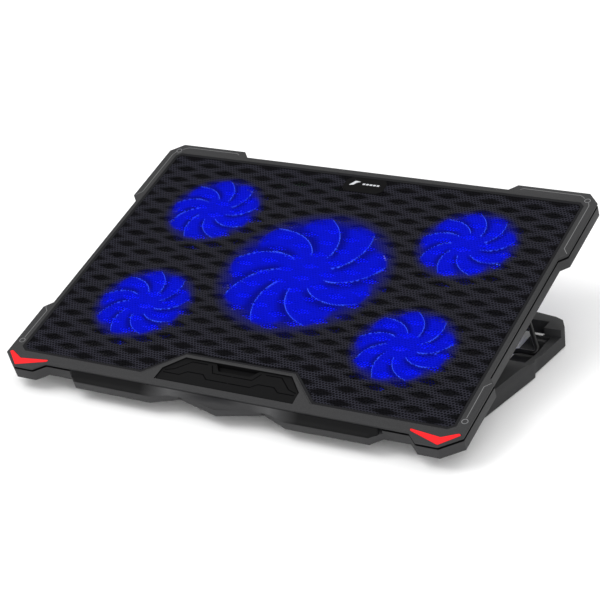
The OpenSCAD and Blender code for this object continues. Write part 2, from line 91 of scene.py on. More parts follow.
class Nodes:
    """A small helper over one material's node tree."""

    def __init__(self, name):
        self.mat = bpy.data.materials.new(name)
        self.mat.use_nodes = True
        self.t = self.mat.node_tree
        self.t.nodes.clear()
        self.out = self.t.nodes.new("ShaderNodeOutputMaterial")
        self.bsdf = self.t.nodes.new("ShaderNodeBsdfPrincipled")
        self.t.links.new(self.bsdf.outputs[0], self.out.inputs[0])

    def node(self, kind, **values):
        n = self.t.nodes.new(kind)
        for k, v in values.items():
            setattr(n, k, v)
        return n

    def link(self, a, b):
        self.t.links.new(a, b)

    def coords(self, deck=False):
        """Object coordinates, or the same turned flat into the deck's own frame, in metres."""
        tc = self.node("ShaderNodeTexCoord")
        if not deck:
            return tc.outputs["Object"]
        inv = DECK.inverted()
        m = self.node("ShaderNodeMapping")
        m.inputs["Location"].default_value = inv.translation
        m.inputs["Rotation"].default_value = inv.to_euler()
        self.link(tc.outputs["Object"], m.inputs["Vector"])
        return m.outputs[0]

    def math(self, op, a, b=None, c=None, clamp=False):
        n = self.node("ShaderNodeMath", operation=op, use_clamp=clamp)
        for i, v in enumerate((a, b, c)):
            if v is None:
                continue
            if isinstance(v, (int, float)):
                n.inputs[i].default_value = v
            else:
                self.link(v, n.inputs[i])
        return n.outputs[0]

    def noise(self, vec, scale, detail=2.0, rough=0.5):
        n = self.node("ShaderNodeTexNoise")
        n.inputs["Scale"].default_value = scale
        n.inputs["Detail"].default_value = detail
        n.inputs["Roughness"].default_value = rough
        self.link(vec, n.inputs["Vector"])
        return n.outputs["Fac"]

    def ramp(self, fac, stops):
        n = self.node("ShaderNodeValToRGB")
        e = n.color_ramp.elements
        while len(e) > 1:
            e.remove(e[-1])
        e[0].position, e[0].color = stops[0][0], stops[0][1]
        for p, c in stops[1:]:
            x = e.new(p)
            x.color = c
        self.link(fac, n.inputs[0])
        return n.outputs[0]

    def mix(self, fac, a, b, blend="MIX"):
        n = self.node("ShaderNodeMix", data_type="RGBA", blend_type=blend)
        for s, v in ((n.inputs[0], fac), (n.inputs[6], a), (n.inputs[7], b)):
            if isinstance(v, (int, float)):
                s.default_value = v
            elif isinstance(v, tuple):
                s.default_value = v
            else:
                self.link(v, s)
        return n.outputs[2]

    def bump(self, height, strength, dist):
        n = self.node("ShaderNodeBump")
        n.inputs["Strength"].default_value = strength
        n.inputs["Distance"].default_value = dist
        self.link(height, n.inputs["Height"])
        self.link(n.outputs[0], self.bsdf.inputs["Normal"])
        return n

    def spread(self, fac, low, high):
        n = self.node("ShaderNodeMapRange")
        n.inputs["To Min"].default_value = low
        n.inputs["To Max"].default_value = high
        self.link(fac, n.inputs["Value"])
        return n.outputs[0]


def plastic(name, colour, rough=0.55, grain=0.35, speck=0.10, scale=1500.0, sheen=0.2):
    """Moulded plastic: fine sparkle grain, slow cloudy variation, worn shine where it is handled."""
    m = Nodes(name)
    v = m.coords()
    fine = m.noise(v, scale, 3.0, 0.6)
    cloud = m.noise(v, 28.0, 3.0, 0.55)
    c = np.array(colour)
    dark = tuple(c[:3] * (1 - speck)) + (1.0,)
    light = tuple(np.minimum(c[:3] * (1 + speck), 1)) + (1.0,)
    base = m.mix(m.ramp(fine, [(0.3, (0, 0, 0, 1)), (0.7, (1, 1, 1, 1))]), dark, light)
    base = m.mix(m.spread(cloud, 0.0, 0.22), base, tuple(c[:3] * 0.78) + (1.0,))
    m.link(base, m.bsdf.inputs["Base Color"])
    wear = m.noise(v, 9.0, 4.0, 0.6)
    m.link(m.spread(wear, rough - 0.08, rough + 0.1), m.bsdf.inputs["Roughness"])
    m.bsdf.inputs["Specular IOR Level"].default_value = sheen
    m.bump(fine, grain, 0.00012)
    return m.mat


def metal(name, colour, rough=0.3):
    """Brushed metal with fine lines along x."""
    m = Nodes(name)
    v = m.coords()
    mp = m.node("ShaderNodeMapping")
    mp.inputs["Scale"].default_value = (1.0, 14.0, 14.0)
    m.link(v, mp.inputs["Vector"])
    n = m.noise(mp.outputs[0], 900.0, 4.0, 0.6)
    c = np.array(colour)
    m.link(m.mix(n, tuple(c[:3] * 0.82) + (1.0,), colour), m.bsdf.inputs["Base Color"])
    m.link(m.spread(n, rough - 0.08, rough + 0.12), m.bsdf.inputs["Roughness"])
    m.bsdf.inputs["Metallic"].default_value = 1.0
    m.bump(n, 0.12, 0.00005)
    return m.mat


def fade(m, value, start, width):
    """1 below start, falling to 0 over the width."""
    return m.math("SUBTRACT", 1.0, m.math("DIVIDE", m.math("SUBTRACT", value, start), width, clamp=True))


def painted_fan_glow(m, v):
    """The fans' blue light painted on as glow by the place on the deck: soft halo, blade body and bright
    blade edge.
    """
    sep = m.node("ShaderNodeSeparateXYZ")
    m.link(v, sep.inputs[0])
    halo = body = edge = None
    for name, (cx, cy, tip, hub) in FAN_SPOTS.items():
        k = tip / BIG_TIP
        phase = BIG_PHASE if name == "center" else SMALL_PHASE
        dx = m.math("SUBTRACT", sep.outputs[0], cx * MM)
        dy = m.math("SUBTRACT", sep.outputs[1], cy * MM)
        r = m.math("SQRT", m.math("ADD", m.math("MULTIPLY", dx, dx), m.math("MULTIPLY", dy, dy)))
        ang = m.math("ARCTAN2", dy, dx)
        t = m.math("DIVIDE", m.math("SUBTRACT", r, SWEEP_START * k * MM), SWEEP_RUN * k * MM, clamp=True)
        swept = m.math("MULTIPLY", m.math("POWER", t, SWEEP_POWER), math.radians(SWEEP))
        turn = m.math("SUBTRACT", m.math("SUBTRACT", ang, swept), math.radians(phase) - 8 * math.pi)
        cell = m.math("FRACT", m.math("DIVIDE", turn, math.radians(BLADE_STEP)))
        arc = m.math("MULTIPLY", m.math("MULTIPLY", cell, r), math.radians(BLADE_STEP))
        inside = fade(m, r, (tip + 1.5) * MM, 3.0 * MM)
        # rounded blade tips: the tip radius falls away towards the trailing side
        fall = m.math("MULTIPLY", m.math("POWER", cell, 2.0), TIP_FALL * k * MM)
        tip_in = fade(m, m.math("ADD", r, fall), (tip + 1.0) * MM, 3.5 * MM)
        gap = fade(m, cell, 0.62, 0.25)
        hubby = fade(m, r, hub * 1.15 * MM, 10 * k * MM)
        blade = m.math("MAXIMUM", m.math("MULTIPLY", gap, tip_in), hubby)
        line_w = 0.9 if name == "center" else 0.7
        line = m.math("SUBTRACT", 1.0, m.math("DIVIDE", arc, line_w * MM, clamp=True))
        past_hub = m.math("GREATER_THAN", r, hub * 1.25 * MM)
        ring = m.math("MULTIPLY", past_hub, m.math("LESS_THAN", r, (tip + 1.5) * MM))
        line = m.math("MULTIPLY", line, ring)
        soft = m.math("POWER", fade(m, r, (tip - 7 * k) * MM, (17 * k + 3) * MM), 1.6)
        blade = m.math("MULTIPLY", blade, inside)
        halo = soft if halo is None else m.math("MAXIMUM", halo, soft)
        body = blade if body is None else m.math("MAXIMUM", body, blade)
        edge = line if edge is None else m.math("MAXIMUM", edge, line)
    return halo, body, edge


def diamonds(m, v):
    """1 over the lattice's diamond openings and 0 over its ribs, with a soft edge: the mask for the painted
    shade over the openings.
    """
    sep = m.node("ShaderNodeSeparateXYZ")
    m.link(v, sep.inputs[0])
    y = m.math("DIVIDE", m.math("SUBTRACT", sep.outputs[1], CELL_START * MM), CELL_V * MM)
    row = m.math("ROUND", y)
    odd = m.math("MULTIPLY", m.math("FLOORED_MODULO", row, 2.0), 0.5)
    x = m.math("SUBTRACT", m.math("DIVIDE", sep.outputs[0], CELL_X * MM), odd)
    fx = m.math("ABSOLUTE", m.math("SUBTRACT", x, m.math("ROUND", x)))
    fy = m.math("ABSOLUTE", m.math("SUBTRACT", y, row))
    d = m.math("ADD", m.math("MULTIPLY", fx, 2.0), fy)
    return fade(m, d, 0.42, 0.36)


def grille_material(name, base, gain, rough=0.5, painted_opening_shade=1.0):
    """Dark coated sheet metal with the fans' blue light painted on as glow by place on the deck;
    painted_opening_shade sets how much painted shade darkens it over the lattice's openings below.
    """
    m = Nodes(name)
    v = m.coords(deck=True)
    fine = m.noise(v, 1600.0, 2.0, 0.6)
    patch = m.noise(v, 22.0, 3.0, 0.5)
    c = np.array(base)
    coat = m.mix(fine, tuple(c[:3] * 0.75) + (1.0,), tuple(c[:3] * 1.2) + (1.0,))
    shade = m.math("MULTIPLY", diamonds(m, v), painted_opening_shade)
    halo, body, edge = painted_fan_glow(m, v)
    painted_glow = m.math("MAXIMUM", halo, body)
    black = tuple(c[:3] * 0.05) + (1.0,)
    # base colour: painted shade over the lattice's openings, and near black under the painted glow
    m.link(m.mix(m.math("MAXIMUM", shade, painted_glow), coat, black), m.bsdf.inputs["Base Color"])
    m.link(m.spread(patch, rough - 0.1, rough + 0.12), m.bsdf.inputs["Roughness"])
    m.bsdf.inputs["Specular IOR Level"].default_value = 0.03
    m.bump(fine, 0.25, 0.00006)
    streak = m.spread(m.noise(v, 130.0, 3.0, 0.6), 0.8, 1.15)
    # emission: the fans' light painted on as glow, strongest on the blade edges
    level = m.math("ADD", m.math("MULTIPLY", halo, 0.34), m.math("MULTIPLY", body, 0.40))
    level = m.math("MULTIPLY", m.math("MULTIPLY", level, streak), gain)
    m.link(m.mix(edge, (0.0, 0.006, 0.9, 1.0), (0.05, 0.13, 1.0, 1.0)), m.bsdf.inputs["Emission Color"])
    m.link(m.math("ADD", level, m.math("MULTIPLY", edge, gain * 0.9)), m.bsdf.inputs["Emission Strength"])
    return m.mat


# emissive plastic: the LEDs are lamps, while on the blades and clear fan frames this is painted glow
def glow(name, colour, strength, rough=0.3):
    m = Nodes(name)
    v = m.coords(deck=True)
    n = m.noise(v, 60.0, 3.0, 0.6)
    m.bsdf.inputs["Base Color"].default_value = colour
    m.link(m.spread(n, rough, rough + 0.15), m.bsdf.inputs["Roughness"])
    m.bsdf.inputs["Emission Color"].default_value = colour
    m.link(m.spread(n, strength * 0.7, strength * 1.2), m.bsdf.inputs["Emission Strength"])
    return m.mat


MATS = {
    "cover": plastic("cover_plastic", srgb(45, 45, 46), 0.55, 0.5, 0.22, 1100.0, 0.16),
    "shell": plastic("shell_plastic", srgb(47, 47, 48), 0.55, 0.4, 0.16),
    # painted shade: near-black plastic for the gap under the cover, the shell's inside and the screw
    # recesses
    "groove": plastic("groove_plastic", srgb(11, 11, 12), 0.7, 0.3, 0.1, 1500.0, 0.08),
    "base": plastic("frame_plastic", srgb(41, 41, 42), 0.55, 0.4, 0.14),
    "flap": plastic("flap_plastic", srgb(10, 10, 11), 0.6, 0.35, 0.14, 1200.0, 0.06),
    "ink": plastic("line_black", srgb(2, 2, 3), 0.8, 0.2, 0.1, 1200.0, 0.02),
    "tray": plastic("tray_plastic", srgb(9, 9, 10), 0.6, 0.35, 0.12, 1200.0, 0.08),
    "wire": plastic("wire_coat", srgb(26, 26, 27), 0.32, 0.1, 0.05, 2500.0, 0.4),
    "clip": plastic("clip_plastic", srgb(34, 34, 35), 0.5),
    "rubber": plastic("rubber", srgb(22, 22, 22), 0.85, 0.5, 0.2, 900.0, 0.2),
    "red": plastic("red_trim", srgb(232, 16, 24), 0.45, 0.08, 0.04, 2000.0, 0.2),
    "silver": plastic("silver_trim", srgb(112, 112, 114), 0.4, 0.1, 0.06, 2000.0, 0.3),
    "pale": plastic("pale_line", srgb(104, 104, 105), 0.45, 0.1, 0.06, 2000.0, 0.3),
    "badge": plastic("badge_black", srgb(2, 2, 3), 0.35, 0.04, 0.1, 3000.0, 0.05),
    "mark": plastic("badge_mark", srgb(190, 192, 196), 0.35, 0.1, 0.05, 3000.0, 0.4),
    "steel": metal("steel", srgb(190, 190, 194), 0.3),
    "socket": metal("socket_metal", srgb(200, 200, 204), 0.25),
    "copper": metal("copper", srgb(184, 110, 60), 0.35),
    "board": plastic("board_green", srgb(24, 70, 40), 0.35, 0.2, 0.2, 600.0, 0.5),
    "black": plastic("switch_black", srgb(22, 22, 23), 0.4, 0.2),
    "lead": plastic("lead_black", srgb(18, 18, 18), 0.5, 0.2),
    # the mesh, its border and the lattice carry the fans' light as painted glow; the mesh also gets painted
    # shade over the lattice's openings
    "border": grille_material("mesh_edge", srgb(30, 30, 32), 1.0, 0.6, 0.0),
    "mesh": grille_material("black_mesh", srgb(41, 41, 49), 1.0, 0.6, 0.9),
    "lattice": grille_material("lattice_plastic", srgb(12, 12, 14), 0.8, 0.6, 0.0),
    # the blades and clear fan frames glow with painted light standing in for the LEDs' light in them
    "rotor": glow("fan_blue", (0.0, 0.006, 0.8, 1.0), 0.6),
    "fanframe": glow("fan_clear", (0.0, 0.003, 0.3, 1.0), 0.10),
    "led": glow("blue_led", (0.0, 0.02, 0.8, 1.0), 0.3),
}


# ---------------------------------------------------------------- mesh tools
def finish_piece(name, bm, mat, body, xf=DECK, bevel=0.0, segments=2, angle=32, slot=None):
    """Turns a bmesh drawn in millimetres into a piece that rides on a body."""
    bmesh.ops.recalc_face_normals(bm, faces=bm.faces)
    me = bpy.data.meshes.new(name)
    bm.transform(xf @ Matrix.Scale(MM, 4))
    bm.to_mesh(me)
    bm.free()
    ob = bpy.data.objects.new(name, me)
    bpy.context.scene.collection.objects.link(ob)
    me.materials.append(MATS[mat] if isinstance(mat, str) else mat)
    me.shade_smooth()
    if bevel:
        b = ob.modifiers.new("edge", "BEVEL")
        b.width = bevel * MM
        b.segments = segments
        b.limit_method = "ANGLE"
        b.angle_limit = math.radians(angle)
        b.harden_normals = True
        b.use_clamp_overlap = True
    else:
        me.set_sharp_from_angle(angle=math.radians(angle))
    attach(ob, body)
    return ob


def mirror(half):
    """A closed outline from its right half."""
    out = list(half)
    for x, y in reversed(half):
        if abs(x) > 1e-9:
            out.append((-x, y))
    return out


def plate_bm(bm, outer, holes, low, high):
    """A flat plate with holes between two heights."""
    loops = [outer] + list(holes)
    flat = [Vector((x, y, 0)) for lp in loops for x, y in lp]
    tris = tessellate_polygon([[Vector((x, y, 0)) for x, y in lp] for lp in loops])
    top = [bm.verts.new((p.x, p.y, high)) for p in flat]
    bot = [bm.verts.new((p.x, p.y, low)) for p in flat]
    for a, b, c in tris:
        bm.faces.new((top[a], top[b], top[c]))
        bm.faces.new((bot[c], bot[b], bot[a]))
    i = 0
    for lp in loops:
        n = len(lp)
        for k in range(n):
            a, b = i + k, i + (k + 1) % n
            bm.faces.new((top[a], top[b], bot[b], bot[a]))
        i += n
    bmesh.ops.dissolve_limit(bm, angle_limit=math.radians(0.5), verts=bm.verts, edges=bm.edges)
    return bm


def plate(name, outer, holes, low, high, mat, body, **kw):
    return finish_piece(name, plate_bm(bmesh.new(), outer, holes, low, high), mat, body, **kw)


def cad_copy(node, name, mat, body, bevel=0.35, pick=None, paint=None, segments=2, angle=32):
    """A piece with the CAD node's exact shape, welded, flat faces joined and its chosen edges rounded."""
    src = frame["nodes"][node]
    bm = bmesh.new()
    bm.from_mesh(src.data)
    bmesh.ops.remove_doubles(bm, verts=bm.verts, dist=2e-6)
    bmesh.ops.dissolve_limit(bm, angle_limit=math.radians(0.6), verts=bm.verts, edges=bm.edges)
    bmesh.ops.recalc_face_normals(bm, faces=bm.faces)
    inv = DECK.inverted()
    if bevel:
        chosen = []
        for e in bm.edges:
            if len(e.link_faces) != 2 or e.calc_face_angle(0.0) < math.radians(angle):
                continue
            mid = inv @ ((e.verts[0].co + e.verts[1].co) / 2) / MM
            if pick is None or pick(mid, e.calc_length() / MM):
                chosen.append(e)
        if chosen:
            bmesh.ops.bevel(bm, geom=chosen, offset=bevel * MM, segments=segments, profile=0.6,
                            affect="EDGES", clamp_overlap=True)
    names = [mat]
    if paint:
        for f in bm.faces:
            want = paint(inv @ f.calc_center_median() / MM, inv.to_3x3() @ f.normal) or mat
            if want not in names:
                names.append(want)
            f.material_index = names.index(want)
    me = bpy.data.meshes.new(name)
    bm.to_mesh(me)
    bm.free()
    me.shade_smooth()
    me.set_sharp_from_angle(angle=math.radians(35))
    ob = bpy.data.objects.new(name, me)
    bpy.context.scene.collection.objects.link(ob)
    for n in names:
        me.materials.append(MATS[n])
    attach(ob, body)
    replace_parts(ob, node)
    return ob


# the perforated panel's outline, right half
PANEL = [(0, 136.5), (189, 136.5), (193, 132.5), (193, -125), (187.5, -129.5), (76, -129.5), (48.5, -103),
         (0, -103)]

# ---------------------------------------------------------------- perforated panel
# holes: distance between centres, half the width across flats, and row spacing over pitch
PITCH, HOLE, ROW_STEP = 2.7, 1.0, 0.8660254


def inside_poly(px, py, poly):
    n = len(poly)
    hit = np.zeros(px.shape, bool)
    j = n - 1
    for i in range(n):
        xi, yi = poly[i]
        xj, yj = poly[j]
        c = ((yi > py) != (yj > py)) & (px < (xj - xi) * (py - yi) / (yj - yi + 1e-12) + xi)
        hit ^= c
        j = i
    return hit


def perforated(name, keep, mat, drop=0.0):
    """A sheet of hexagonal holes with real walls, closed all round."""
    rows = int(2 * 140 / (PITCH * ROW_STEP)) + 2
    r_i, q_i = np.meshgrid(np.arange(-rows // 2, rows // 2), np.arange(-86, 87), indexing="ij")
    x = q_i * PITCH + np.where(r_i % 2 != 0, PITCH / 2, 0.0)
    y = 4.0 + r_i * PITCH * ROW_STEP
    mask = keep(x, y)
    index = -np.ones(x.shape, int)
    index[mask] = np.arange(mask.sum())
    cx, cy = x[mask], y[mask]
    n = len(cx)
    corner = np.radians(30 + 60 * np.arange(6))
    rad = HOLE / math.cos(math.radians(30))
    vx = cx[:, None] + rad * np.cos(corner)[None]
    vy = cy[:, None] + rad * np.sin(corner)[None]
    verts = np.zeros((n, 2, 6, 3))
    verts[:, :, :, 0] = vx[:, None]
    verts[:, :, :, 1] = vy[:, None]
    verts[:, 0, :, 2] = PANEL_TOP - 0.02 - drop
    verts[:, 1, :, 2] = SHEET_LOW - drop
    rr, qq = np.nonzero(mask)
    R, Q = index.shape

    def neighbour(k):
        """Index of the hole in direction k * 60 degrees, or -1."""
        odd = (r_i[:, 0][rr] % 2 != 0).astype(int)
        dr = [0, 1, 1, 0, -1, -1][k]
        dq = [1 + 0 * odd, odd, odd - 1, -1 + 0 * odd, odd - 1, odd][k]
        a, b = rr + dr, qq + dq
        ok = (a >= 0) & (a < R) & (b >= 0) & (b < Q)
        out = -np.ones(n, int)
        out[ok] = index[a[ok], b[ok]]
        return out

    nb = [neighbour(k) for k in range(6)]
    tid = lambda h, c: h * 12 + c % 6
    bid = lambda h, c: h * 12 + 6 + c % 6
    quads, tris = [], []
    me_i = np.arange(n)
    for k in range(6):
        has = nb[k] >= 0
        h = me_i[has]
        o = nb[k][has]
        a, b = (k - 1) % 6, k % 6
        # the hole's wall on this side
        quads.append(np.stack([tid(h, b), tid(h, a), bid(h, a), bid(h, b)], 1))
        if k < 3:
            c, d = (k + 2) % 6, (k + 3) % 6
            # the bar between this hole and its neighbour, top and bottom
            quads.append(np.stack([tid(h, a), tid(o, d), tid(o, c), tid(h, b)], 1))
            quads.append(np.stack([bid(h, b), bid(o, c), bid(o, d), bid(h, a)], 1))
        # the triangle between this hole and neighbours k and k+1
        both = has & (nb[(k + 1) % 6] >= 0)
        if k < 2:
            h2, o2, p2 = me_i[both], nb[k][both], nb[(k + 1) % 6][both]
            c2, d2 = (k + 2) % 6, (k + 4) % 6
            tris.append(np.stack([tid(h2, k), tid(o2, c2), tid(p2, d2)], 1))
            tris.append(np.stack([bid(h2, k), bid(p2, d2), bid(o2, c2)], 1))
        # closing walls where that triangle is missing
        gone = has & (nb[(k + 1) % 6] < 0)
        h3, o3 = me_i[gone], nb[k][gone]
        c3 = (k + 2) % 6
        quads.append(np.stack([tid(h3, k), tid(o3, c3), bid(o3, c3), bid(h3, k)], 1))
    quads = np.concatenate(quads)
    tris = np.concatenate(tris)
    co = verts.reshape(-1, 3)
    used = np.zeros(len(co), bool)
    used[quads.ravel()] = True
    used[tris.ravel()] = True
    remap = np.cumsum(used) - 1
    co = co[used]
    quads, tris = remap[quads], remap[tris]
    M = np.array(DECK)
    co = co * MM @ M[:3, :3].T + M[:3, 3]
    me = bpy.data.meshes.new(name)
    me.from_pydata(co.tolist(), [], quads.tolist() + tris.tolist())
    me.validate()
    bm = bmesh.new()
    bm.from_mesh(me)
    bmesh.ops.recalc_face_normals(bm, faces=bm.faces)
    bm.to_mesh(me)
    bm.free()
    ob = bpy.data.objects.new(name, me)
    bpy.context.scene.collection.objects.link(ob)
    me.materials.append(MATS[mat])
    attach(ob, "deck")
    return ob


PANEL_IN = [(0, 134.6), (188.2, 134.6), (191.1, 131.7), (191.1, -124.1), (186.8, -127.6), (76.9, -127.6),
            (49.4, -101.1), (0, -101.1)]
BORDER_IN = [(0, 134.0), (187.9, 134.0), (190.5, 131.4), (190.5, -123.8), (186.6, -127.0), (77.2, -127.0),
             (49.7, -100.5), (0, -100.5)]
FIELD = mirror(PANEL_IN)
BADGE = [(-19, 119), (-15, 114.5), (15, 114.5), (19, 119), (19, 129), (15, 133.5), (-15, 133.5), (-19, 129)]
# the panel is drawn as four sheets that overlap by a hole at these cuts
cuts = [-200, -96.5, 0.7, 97.9, 200]
for i in range(4):
    a, b = cuts[i], cuts[i + 1]

    def keep(x, y, a=a, b=b):
        return inside_poly(x, y, FIELD) & (x >= a - 1.3) & (x < b + 1.3)

    sheet = perforated(f"mesh_sheet_{i + 1}", keep, "mesh", 0.012 * (i % 2))
    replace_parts(sheet, "mesh_panel")

# the pressed border that covers the sheets' cut edges
plate("mesh_border", mirror(PANEL), [list(reversed(mirror(BORDER_IN)))], PANEL_LOW + 0.1, PANEL_TOP,
      "border", "deck", bevel=0.12, slot="black_mesh")


# ---------------------------------------------------------------- top cover
def in_panel(x, y):
    return bool(inside_poly(np.array([x]), np.array([y]), mirror(PANEL))[0])


# edges shorter than this come from curves and stay as they are
SHORT = 2.2


def cover_pick(p, length):
    """The edges of the top face."""
    return length >= SHORT and p.z > -0.15


def cover_paint(p, n):
    """The tray's well, the lattice below the panel, and painted shade on the faces under the rim."""
    tray = abs(p.x) < 62.5 and -133.5 < p.y < -105
    if tray and p.z < -0.3:
        return "tray"
    if in_panel(p.x, p.y) and p.z < -1.0:
        return "lattice"
    # faces below the rim get painted shade for the gap between cover and shell
    if p.z < -1.65 and p.y > -139 or p.z < -1.7:
        return "groove"
    return None


cad_copy("top_cover", "cover", "cover", "deck", 0.45, cover_pick, cover_paint, 3)


# ---------------------------------------------------------------- lower shell
def shell_pick(p, length):
    """The long edges of the outer wall and of everything below the floor."""
    if length < SHORT or p.z < -13:
        return p.z < -13 and length > SHORT
    outer = abs(p.x) > 193.5 or p.y > 140.5 or p.y < -134
    return outer and (p.z > -7.5 or p.z < -12)


def shell_paint(p, n):
    """Inside faces get painted shade."""
    # the shell's inside faces get painted shade
    if p.z > -10.5 and not (abs(p.x) > 193.5 or p.y > 140.5 or p.y < -134.2):
        return "groove"
    return None


cad_copy("bottom_shell", "shell", "shell", "deck", 0.6, shell_pick, shell_paint, 3)

# ---------------------------------------------------------------- front lip
# the ramp's half width, rear edge, top and bottom, and the fall to its crest
LIP_HALF, LIP_REAR, LIP_TOP, LIP_LOW, LIP_FALL = 136, -139.85, -1.62, -6.48, 4.75
# its front edge: distance from the middle and place from front to rear
CREST = [(136.2, -142.0), (130.2, -146.9), (60.3, -147.4), (37.6, -140.4), (0, -147.9)]


def lip_crest(u):
    """The crest's place at distance u from the middle."""
    u = abs(u)
    for (a, va), (b, vb) in zip(CREST, CREST[1:]):
        if b <= u <= a:
            return va + (vb - va) * (a - u) / (a - b)
    return CREST[0][1]


def lip_material():
    """Shell plastic with painted light and shade: painted shade in the recess at each side, a painted
    highlight in a band out from the middle and a painted shadow under the cover's front edge.
    """
    m = Nodes("lip_plastic")
    v = m.coords(deck=True)
    sep = m.node("ShaderNodeSeparateXYZ")
    m.link(v, sep.inputs[0])
    fine = m.noise(v, 1500.0, 3.0, 0.6)
    across = m.math("DIVIDE", m.math("ABSOLUTE", sep.outputs[0]), 140 * MM)
    # painted highlight about 45 mm out from the middle, painted shade in the recesses further out
    painted_light_tone = m.ramp(across, [(0.0, srgb(50, 50, 51)), (0.2, srgb(54, 54, 55)), (0.32, srgb(74, 74, 75)),
                           (0.40, srgb(50, 50, 51)), (0.50, srgb(8, 8, 9)), (1.0, srgb(5, 5, 6))])
    # a lens of painted shadow just under the middle of the cover's front edge
    du = m.math("DIVIDE", m.math("ADD", sep.outputs[0], 4 * MM), 19 * MM)
    dv = m.math("DIVIDE", m.math("ADD", sep.outputs[1], 141.2 * MM), 2.6 * MM)
    far = m.math("ADD", m.math("MULTIPLY", du, du), m.math("MULTIPLY", dv, dv))
    lens = m.math("SUBTRACT", 1.0, m.math("DIVIDE", far, 1.6, clamp=True))
    painted_light_tone = m.mix(m.math("MULTIPLY", lens, 0.75), painted_light_tone, srgb(12, 12, 16))
    m.link(m.mix(m.spread(fine, 0.0, 0.25), painted_light_tone, (0.0, 0.0, 0.0, 1.0)), m.bsdf.inputs["Base Color"])
    m.link(m.spread(fine, 0.5, 0.7), m.bsdf.inputs["Roughness"])
    m.bsdf.inputs["Specular IOR Level"].default_value = 0.12
    m.bump(fine, 0.35, 0.0001)
    return m.mat


def lip_piece():
    """A concave ramp from under the cover's front edge down to the crest of the lip."""
    bm = bmesh.new()
    across, down = 136, 9
    rows = []
    for i in range(across + 1):
        u = -LIP_HALF + 2 * LIP_HALF * i / across
        crest = min(lip_crest(u) + 0.3, -142.5)
        side = min(1, max(0, (abs(u) - 46) / 16))
        row = []
        for j in range(down + 1):
            t = j / down
            out = (1 - side) * t ** 0.6 + side * t
            fall = (1 - side) * t ** 1.3 + side * (1 - (1 - t) ** 2.15)
            row.append((u, LIP_REAR + (crest - LIP_REAR) * out, LIP_TOP - LIP_FALL * fall))
        row += [(u, crest, LIP_LOW), (u, LIP_REAR, LIP_LOW)]
        rows.append([bm.verts.new(p) for p in row])
    n = len(rows[0])
    for a, b in zip(rows, rows[1:]):
        for j in range(n):
            bm.faces.new((a[j], b[j], b[(j + 1) % n], a[(j + 1) % n]))
    bm.faces.new(rows[0])
    bm.faces.new(rows[-1][::-1])
    return bm


finish_piece("lip_ramp", lip_piece(), lip_material(), "deck", angle=38, slot="shell_plastic")

# ---------------------------------------------------------------- table frame
cad_copy("base_frame", "table_frame", "base", "base", 0.7, lambda p, l: l > SHORT, None, 3)
cad_copy("base_feet", "feet", "rubber", "base", 0.4, lambda p, l: True, None, 2)


# ---------------------------------------------------------------- wire stand
# the wire's length from its pivots to its foot, half width, bend radius and own radius, then its
# pivot's place on the deck and its angle at rest in degrees
WIRE_LONG, WIRE_HALF, WIRE_BEND, WIRE_RADIUS = 96.2, 150.0, 3.0, 2.0
WIRE_V, WIRE_W, WIRE_ANGLE = 106, -15, 29
# the rounding at a tube's ends
END = 0.35


def wire_route(step=6.0):
    """Stations along the bent wire: x, y and heading, in its own plane."""
    L, hx, bend = WIRE_LONG, WIRE_HALF, WIRE_BEND
    half = [(hx - 11.5, 0), (hx, 0), (hx, 61.6 - L), (189, -L), (172, -L), (165, -2 - L)]
    route = half + [(-x, y) for x, y in reversed(half)]
    out = []
    for i, p in enumerate(route):
        if i in (0, len(route) - 1):
            q, r = (route[0], route[1]) if i == 0 else (route[-2], route[-1])
            out.append((p[0], p[1], math.atan2(r[1] - q[1], r[0] - q[0])))
            continue
        a = math.atan2(p[1] - route[i - 1][1], p[0] - route[i - 1][0])
        b = math.atan2(route[i + 1][1] - p[1], route[i + 1][0] - p[0])
        bow = (b - a + math.pi) % (2 * math.pi) - math.pi
        way = 1 if bow > 0 else -1
        back = bend * math.tan(abs(bow) / 2)
        cx = p[0] - back * math.cos(a) - way * bend * math.sin(a)
        cy = p[1] - back * math.sin(a) + way * bend * math.cos(a)
        n = max(2, math.ceil(abs(math.degrees(bow)) / step))
        for k in range(n + 1):
            h = a + bow * k / n
            out.append((cx + way * bend * math.sin(h), cy - way * bend * math.cos(h), h))
    return out


def tube(name, st, r, xf, mat, body, sides=24, **kw):
    """A round tube along flat stations with rounded ends."""
    bm = bmesh.new()
    rings = []
    first, last = st[0], st[-1]

    def ring(x, y, h, rad):
        out = []
        for k in range(sides):
            a = 2 * math.pi * k / sides
            side = rad * math.cos(a)
            out.append(bm.verts.new((x - side * math.sin(h), y + side * math.cos(h), rad * math.sin(a))))
        return out

    def end_ring(at, c, way):
        ahead = way * (END - c)
        return ring(at[0] + ahead * math.cos(at[2]), at[1] + ahead * math.sin(at[2]), at[2], r - c)

    for k in range(3):
        rings.append(end_ring(first, END * (1 - k / 3), 1))
    for x, y, h in st[1:-1]:
        rings.append(ring(x, y, h, r))
    for k in range(3):
        rings.append(end_ring(last, END * (k + 1) / 3, -1))
    for a, b in zip(rings, rings[1:]):
        for k in range(sides):
            n = (k + 1) % sides
            bm.faces.new((a[k], b[k], b[n], a[n]))
    bm.faces.new(rings[0])
    bm.faces.new(list(reversed(rings[-1])))
    return finish_piece(name, bm, mat, body, xf, **kw)


WIRE = (DECK @ Matrix.Translation(Vector((0, WIRE_V * MM, WIRE_W * MM)))
        @ Matrix.Rotation(math.radians(WIRE_ANGLE), 4, "X"))
wire = tube("wire_stand_bent", wire_route(), WIRE_RADIUS, WIRE, "wire", "wire", slot="black_wire", angle=50)
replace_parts(wire, "wire_stand")
cad_copy("wire_clips", "stand_clips", "clip", "deck", 0.3, lambda p, l: l > 1.5, None, 2)


